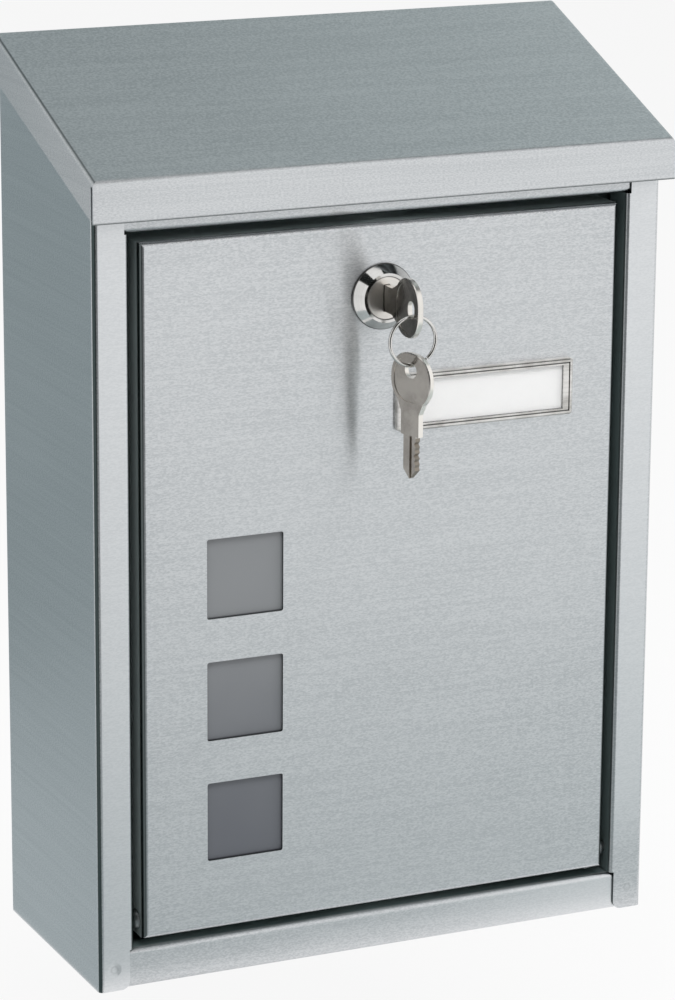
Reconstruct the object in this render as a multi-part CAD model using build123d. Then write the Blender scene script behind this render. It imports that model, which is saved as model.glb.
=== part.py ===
from build123d import *
import os
from math import cos, radians, sin, tan

# Wall mounted mailbox of folded stainless sheet: a body with a lifting lid, a drop-down door with
# a cam lock, three small windows and a name holder, and a pair of keys on a ring.
# Millimetres. +X is to the right, +Y goes into the wall, +Z is up, and the door faces -Y.
# The origin is the middle of the wall screw holes, on the back face.

# Sheet
SHEET = 0.8
BEND = 1.0
TOUCH = 0.3
RUN = 0.05
NEAR = 0.01

# Body
BODY_WIDTH = 210.0
BODY_DEPTH = 87.5
STILE_WIDTH = 13.0
STILE_RETURN = 12.0
STILE_FOOT_ROUND = 3.0
RAIL_HEIGHT = 13.8
RAIL_RETURN = 8.0
PAN_BACK_HEIGHT = 12.0
HEM_HEIGHT = 12.0
WELD_DIMPLE = 5.0
WELD_DEPTH = 0.25
WELD_UP = 7.7

# Wall screw holes in the back
WALL_HOLES_UP = 160.0
WALL_HOLE_X = 140.0
WALL_HOLE_Z = 200.0
WALL_HOLE = 6.5

# Lid
LID_FRONT_TOP = 282.2
LID_SLOPE = 21.3
LID_OVERHANG = 6.5
LID_SIDE_GAP = 1.2
LID_BACK_INSET = 2.9
LIP_HEIGHT = 14.2
FLANGE_BACK = 16.0
CORNER_SLIT = 1.2
LID_SEAT = 0.4

# Lid hinge
HINGE_LENGTH = 150.0
KNUCKLES = 7
KNUCKLE_GAP = 0.4
KNUCKLE_R = 2.0
HINGE_PIN_R = 1.0
HINGE_CLEAR = 0.2
LEAF = 0.8
LEAF_WIDTH = 14.0

# Top rail
TOP_RAIL_SHOW = 4.9
TOP_RAIL_WEB = 14.0
STRIKE_DROP = 11.0

# Door
DOOR_GAP = 3.3
DOOR_DEPTH = 16.0
PIVOT_UP = 5.7
PIVOT_IN = 6.0
PIVOT_R = 2.0
PIVOT_HEAD_R = 3.5
PIVOT_HEAD = 2.3
PIVOT_HEAD_ROUND = 1.8
PIVOT_TAIL = 1.6
PIVOT_TAIL_R = 3.2

# Windows
WINDOW_SIZE = 28.0
WINDOW_ROUND = 0.8
WINDOW_PITCH = 43.2
WINDOW_COUNT = 3
WINDOW_IN = 37.8
WINDOW_UP = 39.0
PANE_MARGIN = 7.0
PANE = 2.0
PANE_EDGE = 0.5
TAPE = 0.5
TAPE_MARGIN = 1.5

# Name holder
NAME_WIDTH = 67.0
NAME_HEIGHT = 20.0
NAME_DEPTH = 2.4
NAME_ROUND = 1.2
NAME_BEVEL = 0.6
NAME_RIM = 1.3
NAME_GROOVE = 0.5
NAME_GROOVE_DEPTH = 0.6
NAME_X = 38.0
NAME_DOWN = 62.5
CARD_WIDTH = 59.0
CARD_HEIGHT = 15.2
CARD = 0.4
COVER = 0.8
COVER_INSET = 0.2
NAME_PLAY = 0.1
PEG_R = 1.3
PEG_LENGTH = 3.2
PEG_SPACING = 56.0
CLIP_R = 4.0
CLIP = 0.6

# Lock
LOCK_X = -0.7
LOCK_DOWN = 25.1
BEZEL_R = 11.4
BEZEL_RIM_R = 8.5
BEZEL_HEIGHT = 4.0
BEZEL_BASE = 0.7
BARREL_R = 9.0
BARREL_FLATS = 16.0
PLUG_HEAD_R = 7.3
PLUG_HEAD_DEPTH = 2.6
PLUG_SUNK = 0.3
PLUG_DISH = 0.5
PLUG_RIM = 0.9
COLLAR_SINK = 2.0
PLUG_R = 6.0
TANG = 7.0
NUT_FLATS = 24.0
NUT = 5.0
WASHER = 1.0
WASHER_R = 11.5
WASHER_TEETH = 12
WASHER_NOTCH_R = 1.4
STOP_WASHER = 1.0
STOP_HUB_R = 6.4
STOP_TAB_R = 8.6
STOP_TAB_ANGLE = 50.0
TURN = 90.0
STOP_PLAY = 2.0
CAM = 2.0
CAM_WIDTH = 14.0
CAM_REACH = 28.0
CAM_PLAY = 0.5
CAM_TIP_ROUND = 3.5
SCREW_R = 2.4
SCREW_HEAD_R = 4.5
SCREW_HEAD = 2.6
SCREW_GRIP = 5.0
SCREW_ROUND = 1.3
SCREW_CROSS = 4.5
SCREW_CROSS_ARM = 0.9
SCREW_CROSS_DEPTH = 1.3
WAFER = 0.8
WAFER_COUNT = 5
WAFER_PITCH = 2.4
WAFER_WIDTH = 6.6
WAFER_HEIGHT = 11.0
WAFER_PLAY = 0.1

# Keys
KEY_THICK = 2.0
BOW_LENGTH = 18.4
BOW_WIDTH = 20.0
BOW_ROUND = 8.6
BOW_BORDER = 1.6
BOW_RECESS = 0.2
BOW_TAPER = 2.0
COLLAR_LENGTH = 9.8
COLLAR_WIDTH = 9.0
BLADE_LENGTH = 14.8
BLADE_WIDTH = 6.2
BLADE_PLAY = 0.2
GROOVE_WIDTH = 1.3
GROOVE_DEPTH = 0.5
GROOVE_SHIFT = 0.7
CUT_DEPTHS = (0.8, 0.4, 0.9, 0.6, 0.4)
CUT_PITCH = 2.0
CUT_START = 2.6
KEY_HOLE_ACROSS = 6.0
KEY_HOLE_ALONG = 5.0
KEY_HOLE_IN = 6.0
KEY_EDGE = 0.3
RING_OUTER_R = 9.0
RING_WIRE_R = 0.65
RING_PLAY = 0.15
RING_SLIT = 0.4
RING_SLIT_ANGLE = -50.0
SPARE_KEY_TURN = 15.0

# Places that follow from the sizes above
FRONT = -BODY_DEPTH
BOTTOM = -WALL_HOLES_UP
HALF_BODY = BODY_WIDTH / 2
INSIDE = HALF_BODY - SHEET
OUTER_BEND = BEND + SHEET
STILE_EDGE = HALF_BODY - STILE_WIDTH
SLOPE = tan(radians(LID_SLOPE))
SLOPE_COS = cos(radians(LID_SLOPE))
LIP_BOTTOM = LID_FRONT_TOP - LIP_HEIGHT
LID_BACK = BODY_DEPTH - LID_BACK_INSET
HALF_LID = HALF_BODY + LID_SIDE_GAP + SHEET
TOP_RAIL_EDGE = LIP_BOTTOM - TOP_RAIL_SHOW
HALF_DOOR = STILE_EDGE - DOOR_GAP
WINDOW_X = WINDOW_IN - HALF_DOOR
DOOR_BOTTOM = RAIL_HEIGHT + DOOR_GAP
DOOR_TOP = TOP_RAIL_EDGE - DOOR_GAP
PIVOT_HEIGHT = DOOR_BOTTOM + PIVOT_UP
STRIKE_IN = DOOR_DEPTH + TOUCH
HEM_IN = BODY_DEPTH - 2 * SHEET
HINGE_IN = HEM_IN - KNUCKLE_R - HINGE_CLEAR
LOCK_HEIGHT = DOOR_TOP - LOCK_DOWN
NAME_HEIGHT_UP = DOOR_TOP - NAME_DOWN
CAM_IN = STRIKE_IN + SHEET + CAM_PLAY
BARREL_END = CAM_IN - STOP_WASHER - TOUCH
TANG_END = CAM_IN + CAM - RUN
PLUG_FACE = PLUG_SUNK - BEZEL_HEIGHT
KEY_SHOULDER = PLUG_FACE + COLLAR_SINK
BLADE_END = KEY_SHOULDER + BLADE_LENGTH
RING_MEAN_R = RING_OUTER_R - RING_WIRE_R


def roof(depth):
    """Height of the lid's outer face at a depth behind the stiles' front."""
    return LID_FRONT_TOP + (depth + LID_OVERHANG) * SLOPE


HINGE_HEIGHT = roof(HINGE_IN) - (SHEET + KNUCKLE_R + HINGE_CLEAR) / SLOPE_COS
BACK_TOP = HINGE_HEIGHT - KNUCKLE_R - 2 * SHEET


def place(x, depth, height):
    """Location of a point given from the middle, the stiles' front and the bottom."""
    return Pos(x, FRONT + depth, BOTTOM + height)


def slab(x, depth, height):
    """Box between pairs of x, depth and height."""
    sizes = [high - low for low, high in (x, depth, height)]
    middle = [(low + high) / 2 for low, high in (x, depth, height)]
    return place(*middle) * Box(*sizes)


def side_section(points, half_width):
    """Solid with a section given as depth and height, as wide to the left as to the right."""
    section = make_face(Polyline(*[(FRONT + d, BOTTOM + h) for d, h in points], close=True))
    return extrude(Plane.YZ * section, half_width, both=True)


def folded(points, side):
    """Face of a sheet folded along square corners, with its metal on one side of the points.

    side is 1 for metal on the left of the line and -1 for the right.
    """
    line = [Vector(*p) for p in points]
    runs = [(b - a).normalized() for a, b in zip(line, line[1:])]
    normals = [Vector(-run.Y, run.X) * side * SHEET for run in runs]
    inner = [line[0] + normals[0]]
    near_radii = [0]
    far_radii = [0]
    for index in range(1, len(line) - 1):
        inner.append(line[index] + normals[index - 1] + normals[index])
        turn = runs[index - 1].cross(runs[index]).Z * side
        near_radii.append(OUTER_BEND if turn > 0 else BEND)
        far_radii.append(BEND if turn > 0 else OUTER_BEND)
    inner.append(line[-1] + normals[-1])
    radii = near_radii + [0, 0] + far_radii[:0:-1] + [0]
    return make_face(FilletPolyline(*line, *inner[::-1], radius=radii, close=True))


def folded_strip(points, side, half_width):
    """Folded sheet with a section given as depth and height, running along X."""
    section = folded([(FRONT + d, BOTTOM + h) for d, h in points], side)
    return extrude(Plane.YZ * section, half_width, both=True)


def along_x(radius, x, depth, height):
    """Round bar along X between a pair of x."""
    low, high = x
    return place((low + high) / 2, depth, height) * Rot(0, 90, 0) * Cylinder(radius, high - low)


def at_lock(shape, depth):
    """Shape that stands on the XY plane, turned to grow forwards from a depth on the lock's axis."""
    return place(LOCK_X, depth, LOCK_HEIGHT) * Rot(90, 0, 0) * shape


def lock_bar(section, depth):
    """Section extruded along the lock's axis between a pair of depths."""
    near, far = depth
    return at_lock(extrude(section, far - near), far)


def sector(inner_r, outer_r, start, sweep):
    """Ring sector, in degrees."""
    ring = Circle(outer_r) - Circle(inner_r)
    reach = outer_r * 3
    steps = [start + sweep * share for share in (0, 0.25, 0.5, 0.75, 1)]
    rays = [(reach * cos(radians(a)), reach * sin(radians(a))) for a in steps]
    return ring & make_face(Polyline((0, 0), *rays, close=True))


def window_heights():
    return [DOOR_BOTTOM + WINDOW_UP + WINDOW_PITCH * index for index in range(WINDOW_COUNT)]


def body_wrap():
    outline = [
        (-STILE_EDGE, FRONT + STILE_RETURN),
        (-STILE_EDGE, FRONT),
        (-HALF_BODY, FRONT),
        (-HALF_BODY, 0),
        (HALF_BODY, 0),
        (HALF_BODY, FRONT),
        (STILE_EDGE, FRONT),
        (STILE_EDGE, FRONT + STILE_RETURN),
    ]
    top = roof(BODY_DEPTH)
    wrap = Pos(0, 0, BOTTOM) * extrude(folded(outline, -1), top)
    under_roof = (SHEET + LID_SEAT) / SLOPE_COS
    start = -LID_OVERHANG
    above = [
        (start, roof(start) - under_roof),
        (BODY_DEPTH * 2, roof(BODY_DEPTH * 2) - under_roof),
        (start, roof(BODY_DEPTH * 2)),
    ]
    wrap -= side_section(above, BODY_WIDTH)
    behind_lid = (LID_BACK - SHEET, BODY_DEPTH + SHEET)
    wrap -= slab((-BODY_WIDTH, BODY_WIDTH), behind_lid, (BACK_TOP, top + SHEET))
    # The stiles lose their returns where the two rails pass behind them.
    for low, high in ((-SHEET, RAIL_HEIGHT + TOUCH), (TOP_RAIL_EDGE - TOUCH, top)):
        for hand in (-1, 1):
            edges = sorted((hand * (STILE_EDGE - SHEET), hand * (STILE_EDGE + OUTER_BEND)))
            wrap -= slab(edges, (-SHEET, STILE_RETURN + SHEET), (low, high))
    feet = wrap.edges().filter_by(Axis.Y).filter_by_position(Axis.Z, BOTTOM - NEAR, BOTTOM + NEAR)
    inner_feet = [e for e in feet if abs(abs(e.center().X) - STILE_EDGE - OUTER_BEND) < NEAR]
    wrap = fillet(inner_feet, STILE_FOOT_ROUND)
    # The back's top edge is folded over on itself.
    hem = slab((-INSIDE + BEND, INSIDE - BEND), (HEM_IN, HEM_IN + SHEET), (BACK_TOP - HEM_HEIGHT, BACK_TOP))
    wrap += hem
    for x in (-WALL_HOLE_X / 2, WALL_HOLE_X / 2):
        for z in (-WALL_HOLE_Z / 2, WALL_HOLE_Z / 2):
            wrap -= Pos(x, 0, z) * Rot(90, 0, 0) * Cylinder(WALL_HOLE / 2, 4 * SHEET)
    pivot_reach = STILE_EDGE + 2 * SHEET
    wrap -= along_x(PIVOT_R, (-pivot_reach, pivot_reach), PIVOT_IN, PIVOT_HEIGHT)
    ball_r = ((WELD_DIMPLE / 2) ** 2 + WELD_DEPTH**2) / (2 * WELD_DEPTH)
    for hand in (-1, 1):
        x = hand * (HALF_BODY + STILE_EDGE + OUTER_BEND) / 2
        wrap -= place(x, WELD_DEPTH - ball_r, WELD_UP) * Sphere(ball_r)
    return wrap


def bottom_pan():
    back = BODY_DEPTH - SHEET
    path = [
        (back, PAN_BACK_HEIGHT),
        (back, 0),
        (SHEET, 0),
        (SHEET, RAIL_HEIGHT),
        (SHEET + RAIL_RETURN, RAIL_HEIGHT),
    ]
    return folded_strip(path, -1, INSIDE - BEND)


def top_rail():
    path = [
        (SHEET, TOP_RAIL_EDGE + TOP_RAIL_WEB),
        (SHEET, TOP_RAIL_EDGE),
        (STRIKE_IN, TOP_RAIL_EDGE),
        (STRIKE_IN, TOP_RAIL_EDGE - STRIKE_DROP),
    ]
    return folded_strip(path, 1, INSIDE - BEND)


def door_pivots():
    """Two shouldered rivets, fixed in the stiles' returns, on which the door turns."""
    axis = (PIVOT_IN, PIVOT_HEIGHT)
    far_side = STILE_EDGE + SHEET
    shank = along_x(PIVOT_R, (HALF_DOOR - 2 * SHEET, far_side), *axis)
    tail = along_x(PIVOT_TAIL_R, (far_side, far_side + PIVOT_TAIL), *axis)
    head_start = HALF_DOOR + TOUCH
    head = along_x(PIVOT_HEAD_R, (head_start, head_start + PIVOT_HEAD), *axis)
    head = fillet(head.edges().filter_by(GeomType.CIRCLE).sort_by(Axis.X)[-1], PIVOT_HEAD_ROUND)
    right = shank + tail + head
    return [right, mirror(right, Plane.YZ)]


def knuckle_spans(first):
    """X spans of every second knuckle, starting at the first."""
    pitch = HINGE_LENGTH / KNUCKLES
    for index in range(first, KNUCKLES, 2):
        start = -HINGE_LENGTH / 2 + pitch * index
        yield start + KNUCKLE_GAP / 2, start + pitch - KNUCKLE_GAP / 2


def hinge_leaf(first, bore_r):
    """Leaf that hangs down from knuckles on the X axis, with its seat towards +Y."""
    seat = KNUCKLE_R + HINGE_CLEAR
    top = -seat
    plate_middle = Pos(0, seat - LEAF / 2, top - LEAF_WIDTH / 2)
    leaf = plate_middle * Box(HINGE_LENGTH, LEAF, LEAF_WIDTH)
    for low, high in knuckle_spans(first):
        middle = Pos((low + high) / 2, 0, 0)
        length = high - low
        leaf += middle * Rot(0, 90, 0) * Cylinder(KNUCKLE_R, length)
        leaf += middle * Pos(0, seat - LEAF / 2, top / 2) * Box(length, LEAF, seat)
    return leaf - Rot(0, 90, 0) * Cylinder(bore_r, HINGE_LENGTH * 2)


def hinge_back_leaf():
    return place(0, HINGE_IN, HINGE_HEIGHT) * hinge_leaf(0, HINGE_PIN_R)


def hinge_lid_leaf():
    flipped = mirror(hinge_leaf(1, HINGE_PIN_R + RUN), Plane.XZ)
    return place(0, HINGE_IN, HINGE_HEIGHT) * Rot(LID_SLOPE - 90, 0, 0) * flipped


def hinge_pin():
    return along_x(HINGE_PIN_R, (-HINGE_LENGTH / 2, HINGE_LENGTH / 2), HINGE_IN, HINGE_HEIGHT)


def lid_block(inset, round_r):
    """Solid block under the lid's skin, drawn in by an inset at the front, top and sides."""
    front = -LID_OVERHANG + inset
    drop = inset / SLOPE_COS
    spare = LIP_HEIGHT if inset else 0
    points = [
        (front, LIP_BOTTOM - spare),
        (front, roof(front) - drop),
        (LID_BACK + spare, roof(LID_BACK + spare) - drop),
        (LID_BACK + spare, roof(LID_BACK) - FLANGE_BACK - spare),
    ]
    block = side_section(points, HALF_LID - inset)
    front_y = FRONT + front
    rounded = []
    for edge in block.edges():
        middle = edge.center()
        on_front = abs(middle.Y - front_y) < NEAR
        if on_front and abs(middle.Z - BOTTOM - points[1][1]) < NEAR:
            rounded.append(edge)
        elif abs(abs(middle.X) - HALF_LID + inset) < NEAR and is_roof_edge(middle, drop):
            rounded.append(edge)
    return fillet(rounded, round_r)


def is_roof_edge(point, drop):
    return abs(point.Z - BOTTOM - roof(point.Y - FRONT) + drop) < NEAR


def lid_cover():
    lid = lid_block(0, OUTER_BEND) - lid_block(SHEET, BEND)
    # The corners between the lip and the side flanges are folded, not welded, so they stay open.
    slit_start = SHEET - LID_OVERHANG
    for hand in (-1, 1):
        span = sorted((hand * (HALF_LID - 2 * SHEET), hand * (HALF_LID + SHEET)))
        slit = (slit_start, slit_start + CORNER_SLIT)
        lid -= slab(span, slit, (LIP_BOTTOM - SHEET, LID_FRONT_TOP - OUTER_BEND))
    return lid


def door_panel():
    outer = slab((-HALF_DOOR, HALF_DOOR), (0, DOOR_DEPTH), (DOOR_BOTTOM, DOOR_TOP))
    outer = fillet(outer.faces().sort_by(Axis.Y)[0].edges(), OUTER_BEND)
    wall = HALF_DOOR - SHEET
    inner = slab((-wall, wall), (SHEET, DOOR_DEPTH * 2), (DOOR_BOTTOM + SHEET, DOOR_TOP - SHEET))
    inner = fillet(inner.faces().sort_by(Axis.Y)[0].edges(), BEND)
    door = outer - inner
    window = RectangleRounded(WINDOW_SIZE, WINDOW_SIZE, WINDOW_ROUND)
    for height in window_heights():
        door -= place(WINDOW_X, 0, height) * Rot(90, 0, 0) * extrude(window, 2 * SHEET, both=True)
    lock_hole = Circle(BARREL_R + RUN) & Rectangle(BARREL_FLATS + 2 * RUN, 4 * BARREL_R)
    door -= lock_bar(lock_hole, (-SHEET, 2 * SHEET))
    for x in peg_places():
        door -= place(x, 0, NAME_HEIGHT_UP) * Rot(90, 0, 0) * Cylinder(PEG_R + RUN, 4 * SHEET)
    door -= along_x(PIVOT_R + RUN, (-BODY_WIDTH, BODY_WIDTH), PIVOT_IN, PIVOT_HEIGHT)
    return door


def pane_span(margin):
    """X and height spans of a strip behind the windows that reaches a margin past them."""
    heights = window_heights()
    half = WINDOW_SIZE / 2 + margin
    return (WINDOW_X - half, WINDOW_X + half), (heights[0] - half, heights[-1] + half)


def window_tape():
    x, height = pane_span(PANE_MARGIN)
    tape = slab(x, (SHEET, SHEET + TAPE), height)
    opening = WINDOW_SIZE + 2 * TAPE_MARGIN
    for middle in window_heights():
        tape -= place(WINDOW_X, SHEET, middle) * Box(opening, 4 * TAPE, opening)
    return tape


def window_pane():
    x, height = pane_span(PANE_MARGIN)
    pane = slab(x, (SHEET + TAPE, SHEET + TAPE + PANE), height)
    return chamfer(pane.faces().sort_by(Axis.Y)[-1].edges(), PANE_EDGE)


def peg_places():
    return [NAME_X - PEG_SPACING / 2, NAME_X + PEG_SPACING / 2]


def on_name(section, depth):
    """Section set upright on the name holder's middle between a pair of depths."""
    near, far = depth
    return place(NAME_X, far, NAME_HEIGHT_UP) * Rot(90, 0, 0) * extrude(section, far - near)


def name_holder():
    holder = on_name(RectangleRounded(NAME_WIDTH, NAME_HEIGHT, NAME_ROUND), (-NAME_DEPTH, 0))
    holder = chamfer(holder.faces().sort_by(Axis.Y)[0].edges(), NAME_BEVEL)
    rim = 2 * NAME_RIM
    groove = Rectangle(NAME_WIDTH - rim, NAME_HEIGHT - rim)
    rim += 2 * NAME_GROOVE
    groove -= Rectangle(NAME_WIDTH - rim, NAME_HEIGHT - rim)
    holder -= on_name(groove, (-NAME_DEPTH - SHEET, NAME_GROOVE_DEPTH - NAME_DEPTH))
    pocket = Rectangle(CARD_WIDTH + 2 * NAME_PLAY, CARD_HEIGHT + 2 * NAME_PLAY)
    holder -= on_name(pocket, (-NAME_DEPTH - SHEET, COVER_INSET + COVER + CARD - NAME_DEPTH))
    for x in peg_places():
        holder += place(x, PEG_LENGTH / 2, NAME_HEIGHT_UP) * Rot(90, 0, 0) * Cylinder(PEG_R, PEG_LENGTH)
    return holder


def name_card():
    back = COVER_INSET + COVER + CARD - NAME_DEPTH
    return on_name(Rectangle(CARD_WIDTH, CARD_HEIGHT), (back - CARD, back))


def name_cover():
    front = COVER_INSET - NAME_DEPTH
    return on_name(Rectangle(CARD_WIDTH, CARD_HEIGHT), (front, front + COVER))


def name_clips():
    ring = Circle(CLIP_R) - Circle(PEG_R)
    blank = Rot(90, 0, 0) * extrude(ring, CLIP)
    return [place(x, SHEET + CLIP, NAME_HEIGHT_UP) * blank for x in peg_places()]


def lock_barrel():
    bezel = at_lock(Pos(0, 0, BEZEL_BASE / 2) * Cylinder(BEZEL_R, BEZEL_BASE), 0)
    cone = BEZEL_HEIGHT - BEZEL_BASE
    bezel += at_lock(Pos(0, 0, BEZEL_BASE + cone / 2) * Cone(BEZEL_R, BEZEL_RIM_R, cone), 0)
    body = Circle(BARREL_R) & Rectangle(BARREL_FLATS, 4 * BARREL_R)
    barrel = bezel + lock_bar(body, (-SHEET, BARREL_END))
    seat = PLUG_FACE + PLUG_HEAD_DEPTH + TOUCH
    barrel -= lock_bar(Circle(PLUG_HEAD_R + RUN), (-2 * BEZEL_HEIGHT, seat))
    barrel -= lock_bar(Circle(PLUG_R + RUN), (-BEZEL_HEIGHT, 2 * BARREL_END))
    free = STOP_TAB_ANGLE + TURN + 2 * STOP_PLAY
    start = -STOP_TAB_ANGLE / 2 - STOP_PLAY
    lug = sector(STOP_HUB_R + TOUCH, STOP_TAB_R, start + free, 360 - free)
    return barrel + lock_bar(lug, (BARREL_END, CAM_IN - TOUCH))


def lock_washer():
    washer = Circle(WASHER_R) - Circle(BARREL_R)
    tooth = Pos(WASHER_R, 0) * Circle(WASHER_NOTCH_R)
    for index in range(WASHER_TEETH):
        washer -= Rot(0, 0, index * 360 / WASHER_TEETH) * tooth
    return lock_bar(washer, (SHEET, SHEET + WASHER))


def lock_nut():
    hexagon = RegularPolygon(NUT_FLATS / 2, 6, major_radius=False) - Circle(BARREL_R)
    start = SHEET + WASHER
    return lock_bar(hexagon, (start, start + NUT))


def wafer_depths():
    first = PLUG_FACE + PLUG_HEAD_DEPTH + WAFER
    return [first + WAFER_PITCH * index for index in range(WAFER_COUNT)]


def lock_plug():
    plug = lock_bar(Circle(PLUG_HEAD_R), (PLUG_FACE, PLUG_FACE + PLUG_HEAD_DEPTH))
    plug += lock_bar(Circle(PLUG_R), (PLUG_FACE, BARREL_END + TOUCH))
    plug += lock_bar(Rectangle(TANG, TANG), (BARREL_END, TANG_END))
    dish_r = PLUG_HEAD_R - PLUG_RIM
    ball_r = (dish_r**2 + PLUG_DISH**2) / (2 * PLUG_DISH)
    plug -= place(LOCK_X, PLUG_FACE + PLUG_DISH - ball_r, LOCK_HEIGHT) * Sphere(ball_r)
    keyway = Rectangle(KEY_THICK + 2 * BLADE_PLAY, BLADE_WIDTH + 2 * BLADE_PLAY)
    plug -= lock_bar(keyway, (PLUG_FACE - SHEET, BLADE_END + TOUCH))
    mouth = Rectangle(KEY_THICK + 2 * BLADE_PLAY, COLLAR_WIDTH + 2 * BLADE_PLAY)
    plug -= lock_bar(mouth, (PLUG_FACE - SHEET, KEY_SHOULDER + BLADE_PLAY))
    slot = Rectangle(WAFER_WIDTH + 2 * WAFER_PLAY, 4 * PLUG_R)
    for depth in wafer_depths():
        plug -= lock_bar(slot, (depth - WAFER_PLAY, depth + WAFER + WAFER_PLAY))
    return plug - lock_bar(Circle(SCREW_R), (CAM_IN + CAM - SCREW_GRIP, TANG_END + SHEET))


def lock_wafers():
    window = Rectangle(KEY_THICK + 3 * BLADE_PLAY, BLADE_WIDTH + 3 * BLADE_PLAY)
    wafer = (Rectangle(WAFER_WIDTH, WAFER_HEIGHT) & Circle(PLUG_R - WAFER_PLAY)) - window
    return [lock_bar(wafer, (depth, depth + WAFER)) for depth in wafer_depths()]


def stop_washer():
    washer = Circle(STOP_HUB_R) + sector(STOP_HUB_R / 2, STOP_TAB_R, -STOP_TAB_ANGLE / 2, STOP_TAB_ANGLE)
    washer -= Rectangle(TANG, TANG)
    return lock_bar(washer, (CAM_IN - STOP_WASHER, CAM_IN))


def lock_cam():
    half = CAM_WIDTH / 2
    straight = CAM_REACH - half
    cam = Circle(half) + Pos(straight / 2, 0) * Rectangle(straight, CAM_WIDTH)
    cam += Pos(straight, 0) * RectangleRounded(CAM_WIDTH, CAM_WIDTH, CAM_TIP_ROUND)
    cam -= Rectangle(TANG, TANG)
    return lock_bar(cam, (CAM_IN, CAM_IN + CAM))


def cam_screw():
    seat = CAM_IN + CAM
    head = lock_bar(Circle(SCREW_HEAD_R), (seat, seat + SCREW_HEAD))
    head = fillet(head.faces().sort_by(Axis.Y)[-1].edges(), SCREW_ROUND)
    cross = Rectangle(SCREW_CROSS, SCREW_CROSS_ARM) + Rectangle(SCREW_CROSS_ARM, SCREW_CROSS)
    head -= lock_bar(cross, (seat + SCREW_HEAD - SCREW_CROSS_DEPTH, seat + 2 * SCREW_HEAD))
    return head + lock_bar(Circle(SCREW_R), (seat - SCREW_GRIP + RUN, seat))


def key_hole_to_shoulder():
    return COLLAR_LENGTH + BOW_LENGTH - KEY_HOLE_IN


def key_blank():
    """Flat key in the YZ plane with its shoulder at the origin and its tip towards +Y."""
    bow = Pos(-COLLAR_LENGTH - BOW_LENGTH / 2, 0) * RectangleRounded(BOW_LENGTH, BOW_WIDTH, BOW_ROUND)
    collar_reach = COLLAR_LENGTH + BOW_LENGTH / 2
    half_bow = BOW_WIDTH / 2
    half_collar = COLLAR_WIDTH / 2
    taper_end = BOW_TAPER - COLLAR_LENGTH
    left = [(-collar_reach, half_bow), (-collar_reach, -half_bow)]
    shoulder = make_face(Polyline(*left, (taper_end, -half_collar), (taper_end, half_collar), close=True))
    collar = Pos(-collar_reach / 2, 0) * Rectangle(collar_reach, COLLAR_WIDTH)
    half = BLADE_WIDTH / 2
    tip = BLADE_LENGTH - half
    point = [(tip, -half), (BLADE_LENGTH, 0), (tip, half)]
    blade = make_face(Polyline((taper_end, -half), *point, (taper_end, half), close=True))
    for index, depth in enumerate(CUT_DEPTHS):
        middle = CUT_START + CUT_PITCH * index
        notch = [(middle - CUT_PITCH / 2, -half), (middle, depth - half), (middle + CUT_PITCH / 2, -half)]
        below = [(middle + CUT_PITCH / 2, -BLADE_WIDTH), (middle - CUT_PITCH / 2, -BLADE_WIDTH)]
        blade -= make_face(Polyline(*notch, *below, close=True))
    hole = SlotOverall(KEY_HOLE_ACROSS, KEY_HOLE_ALONG, rotation=90)
    half_thick = KEY_THICK / 2
    head = extrude(bow, half_thick, both=True)
    head = chamfer(head.faces().filter_by(Axis.Z).edges(), KEY_EDGE)
    key = head
    for outline in (shoulder, collar, blade):
        key += extrude(outline, half_thick, both=True)
    key -= Pos(-key_hole_to_shoulder(), 0) * extrude(hole, KEY_THICK, both=True)
    recess = extrude(offset(bow, -BOW_BORDER), BOW_RECESS)
    for level in (half_thick - BOW_RECESS, -half_thick):
        key -= Pos(0, 0, level) * recess
    groove = Box(BLADE_LENGTH * 2, GROOVE_WIDTH, GROOVE_DEPTH * 2)
    for hand in (-1, 1):
        key -= Pos(BLADE_LENGTH, hand * GROOVE_SHIFT, hand * half_thick) * groove
    return Plane.YZ.location * key


def key_in_lock():
    return place(LOCK_X, KEY_SHOULDER, LOCK_HEIGHT) * key_blank()


RING_PLANE = KEY_SHOULDER - key_hole_to_shoulder()
RING_TOP = LOCK_HEIGHT - KEY_HOLE_ACROSS / 2 + RING_WIRE_R + RING_PLAY
RING_FOOT = RING_TOP - 2 * RING_MEAN_R
SPARE_HOLE = RING_FOOT - KEY_HOLE_ALONG / 2 + RING_WIRE_R + RING_PLAY


def key_ring():
    ring = Torus(RING_MEAN_R, RING_WIRE_R)
    slit = Pos(RING_MEAN_R, 0) * Box(4 * RING_WIRE_R, RING_SLIT, 4 * RING_WIRE_R)
    ring -= Rot(0, 0, RING_SLIT_ANGLE) * slit
    return place(LOCK_X, RING_PLANE, RING_TOP - RING_MEAN_R) * Rot(90, 0, 0) * ring


def spare_key():
    hung = Rot(0, 0, SPARE_KEY_TURN) * Rot(-90, 0, 0) * Pos(0, key_hole_to_shoulder(), 0) * key_blank()
    return place(LOCK_X, RING_PLANE, SPARE_HOLE) * hung


NODES = {
    "body_wrap": body_wrap,
    "bottom_pan": bottom_pan,
    "top_rail": top_rail,
    "door_pivots": door_pivots,
    "hinge_back_leaf": hinge_back_leaf,
    "hinge_pin": hinge_pin,
    "hinge_lid_leaf": hinge_lid_leaf,
    "lid_cover": lid_cover,
    "door_panel": door_panel,
    "window_tape": window_tape,
    "window_pane": window_pane,
    "name_holder": name_holder,
    "name_card": name_card,
    "name_cover": name_cover,
    "name_clips": name_clips,
    "lock_barrel": lock_barrel,
    "lock_washer": lock_washer,
    "lock_nut": lock_nut,
    "lock_plug": lock_plug,
    "lock_wafers": lock_wafers,
    "stop_washer": stop_washer,
    "lock_cam": lock_cam,
    "cam_screw": cam_screw,
    "key_in_lock": key_in_lock,
    "key_ring": key_ring,
    "spare_key": spare_key,
}

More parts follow.
